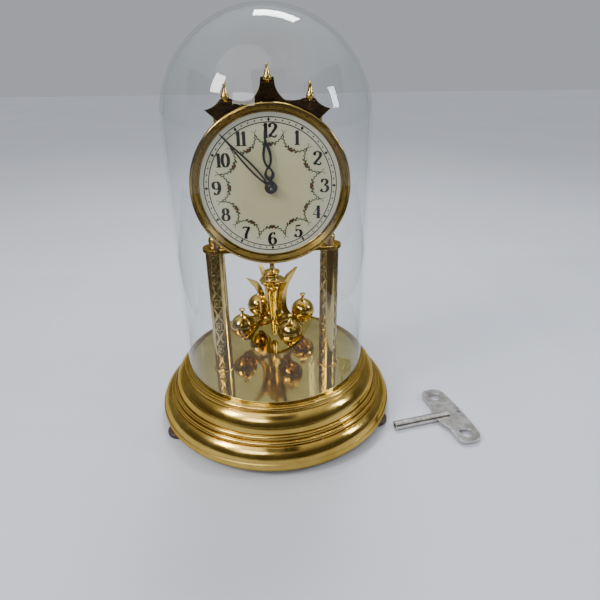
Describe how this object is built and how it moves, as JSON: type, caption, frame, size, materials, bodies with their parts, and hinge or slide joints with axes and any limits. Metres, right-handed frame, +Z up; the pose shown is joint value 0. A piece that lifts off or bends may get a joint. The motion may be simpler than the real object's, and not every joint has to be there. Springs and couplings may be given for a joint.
{
  "type": "anniversary clock",
  "caption": "Torsion pendulum clock on a stepped round brass base under a glass dome, with two columns, an arabic dial, a crown ornament and a loose winding key.",
  "frame": {"origin": "on the table, at the centre of the round base", "axes": "+Z up, the dial faces -Y, +X to the right of someone who reads the dial"},
  "size_m": [0.2494, 0.1916, 0.2985],
  "materials": {
    "polished_brass": "mirror polished and lacquered",
    "engraved_brass": "polished with engraved floral strips",
    "gilt_brass": "gilt and polished",
    "dark_brass": "antiqued satin",
    "plate_brass": "brushed",
    "steel": "turned and polished",
    "spring_steel": "blue-grey tempered",
    "blackened_steel": "blackened satin",
    "dial_enamel": "satin ivory enamel with printed numerals",
    "dome_glass": "clear blown glass",
    "brown_bakelite": "moulded, knurled edge",
    "weight_iron": "painted",
    "nickel": "nickel plated"
  },
  "bodies": {
    "clock_frame": {"base_shell": "polished_brass", "deck_plate": "polished_brass", "base_weight": "weight_iron", "column_left": "engraved_brass", "column_right": "engraved_brass", "column_foot_rings": "polished_brass", "column_rods": "steel", "column_ball_nuts": "polished_brass", "column_under_nuts": "steel", "movement_platform": "polished_brass", "front_plate": "plate_brass", "back_plate": "plate_brass", "movement_pillars": "steel", "movement_screws": "steel", "click_spring": "spring_steel", "dial": "dial_enamel", "dial_pan": "polished_brass", "bezel": "polished_brass", "dial_posts": "steel", "crown_ornament": "dark_brass", "crown_finials": "gilt_brass", "suspension_bracket": "plate_brass", "suspension_top_block": "plate_brass"},
    "foot_front_left": {"levelling_foot_front_left": "brown_bakelite"},
    "foot_front_right": {"levelling_foot_front_right": "brown_bakelite"},
    "foot_rear": {"levelling_foot_rear": "brown_bakelite"},
    "dome": {"glass_dome": "dome_glass"},
    "centre_work": {"centre_arbor": "steel", "centre_wheel": "plate_brass", "cannon_pinion": "steel", "minute_hand": "blackened_steel", "hand_nut": "blackened_steel"},
    "minute_work": {"minute_wheel": "plate_brass"},
    "hour_work": {"hour_wheel": "plate_brass", "hour_hand": "blackened_steel"},
    "third_work": {"third_arbor": "steel", "third_wheel": "plate_brass"},
    "escape_work": {"escape_arbor": "steel", "escape_wheel": "plate_brass"},
    "second_work": {"second_arbor": "steel", "second_wheel": "plate_brass"},
    "first_work": {"first_arbor": "steel", "first_wheel": "plate_brass"},
    "barrel_work": {"mainspring_barrel": "plate_brass", "barrel_cover": "plate_brass", "mainspring": "spring_steel"},
    "winding_work": {"winding_arbor": "steel", "ratchet_wheel": "steel"},
    "click_work": {"click": "steel"},
    "anchor_work": {"anchor": "steel", "anchor_arbor": "steel"},
    "fork": {"suspension_fork": "plate_brass"},
    "pendulum": {"suspension_spring": "spring_steel", "suspension_bottom_block": "plate_brass", "pendulum_stem": "gilt_brass", "pendulum_gallery": "gilt_brass", "pendulum_arms": "gilt_brass", "pendulum_balls": "gilt_brass"},
    "regulator": {"regulating_disc": "gilt_brass"},
    "key": {"winding_key": "nickel"}
  },
  "joints": [
    {"name": "dome_lift", "type": "slide", "parent": "clock_frame", "child": "dome", "axis": [0, 0, 1], "range_m": [0, 0.24]},
    {"name": "foot_front_left_turn", "type": "hinge", "parent": "clock_frame", "child": "foot_front_left", "pos_m": [-0.07891, -0.03849, 0], "axis": [0, 0, 1], "range_deg": [-720, 720]},
    {"name": "foot_front_right_turn", "type": "hinge", "parent": "clock_frame", "child": "foot_front_right", "pos_m": [0.07891, -0.03849, 0], "axis": [0, 0, 1], "range_deg": [-720, 720]},
    {"name": "foot_rear_turn", "type": "hinge", "parent": "clock_frame", "child": "foot_rear", "pos_m": [0, 0.0878, 0], "axis": [0, 0, 1], "range_deg": [-720, 720]},
    {"name": "minute_spin", "type": "hinge", "parent": "clock_frame", "child": "centre_work", "pos_m": [0, 0, 0.192], "axis": [0, 1, 0], "continuous": true},
    {"name": "minute_wheel_spin", "type": "hinge", "parent": "clock_frame", "child": "minute_work", "pos_m": [-0.012, 0, 0.192], "axis": [0, 1, 0], "continuous": true},
    {"name": "hour_spin", "type": "hinge", "parent": "clock_frame", "child": "hour_work", "pos_m": [0, 0, 0.192], "axis": [0, 1, 0], "continuous": true},
    {"name": "third_spin", "type": "hinge", "parent": "clock_frame", "child": "third_work", "pos_m": [-0.009, 0, 0.204], "axis": [0, 1, 0], "continuous": true},
    {"name": "escape_spin", "type": "hinge", "parent": "clock_frame", "child": "escape_work", "pos_m": [0, 0, 0.21194], "axis": [0, 1, 0], "continuous": true},
    {"name": "second_spin", "type": "hinge", "parent": "clock_frame", "child": "second_work", "pos_m": [0.01691, 0, 0.18583], "axis": [0, 1, 0], "continuous": true},
    {"name": "first_spin", "type": "hinge", "parent": "clock_frame", "child": "first_work", "pos_m": [0.0108, 0, 0.167], "axis": [0, 1, 0], "continuous": true},
    {"name": "barrel_spin", "type": "hinge", "parent": "clock_frame", "child": "barrel_work", "pos_m": [-0.009, 0, 0.167], "axis": [0, 1, 0], "continuous": true},
    {"name": "winding_turn", "type": "hinge", "parent": "clock_frame", "child": "winding_work", "pos_m": [-0.009, 0, 0.167], "axis": [0, 1, 0], "continuous": true},
    {"name": "click_lift", "type": "hinge", "parent": "clock_frame", "child": "click_work", "pos_m": [0.0036, 0, 0.165], "axis": [0, 1, 0], "range_deg": [0, 15], "stiffness_Nm_per_rad": 0.0005, "springref_deg": -5.73},
    {"name": "pendulum_twist", "type": "hinge", "parent": "clock_frame", "child": "pendulum", "pos_m": [0, 0.0244, 0], "axis": [0, 0, 1], "range_deg": [-150, 150], "stiffness_Nm_per_rad": 0.000025},
    {"name": "fork_swing", "type": "hinge", "parent": "clock_frame", "child": "fork", "pos_m": [0, 0.0244, 0], "axis": [0, 0, 1], "range_deg": [-5, 5]},
    {"name": "anchor_rock", "type": "hinge", "parent": "clock_frame", "child": "anchor_work", "pos_m": [0, 0, 0.22394], "axis": [0, 1, 0], "range_deg": [-5.4, 5.4]},
    {"name": "regulator_turn", "type": "hinge", "parent": "pendulum", "child": "regulator", "pos_m": [0, 0.0244, 0], "axis": [0, 0, 1], "range_deg": [-360, 360]},
    {"name": "key_lift", "type": "slide", "parent": "clock_frame", "child": "key", "axis": [0, 0, 1], "range_m": [0, 0.05]}
  ],
  "couplings": [
    {"joint": "minute_wheel_spin", "follows": "minute_spin", "ratio": -0.33333},
    {"joint": "hour_spin", "follows": "minute_spin", "ratio": 0.083333},
    {"joint": "third_spin", "follows": "minute_spin", "ratio": -4},
    {"joint": "escape_spin", "follows": "minute_spin", "ratio": 12},
    {"joint": "second_spin", "follows": "minute_spin", "ratio": -0.11111},
    {"joint": "first_spin", "follows": "minute_spin", "ratio": 0.011111},
    {"joint": "barrel_spin", "follows": "minute_spin", "ratio": -0.0011111},
    {"joint": "fork_swing", "follows": "pendulum_twist", "ratio": 0.033333},
    {"joint": "anchor_rock", "follows": "pendulum_twist", "ratio": 0.035398}
  ]
}
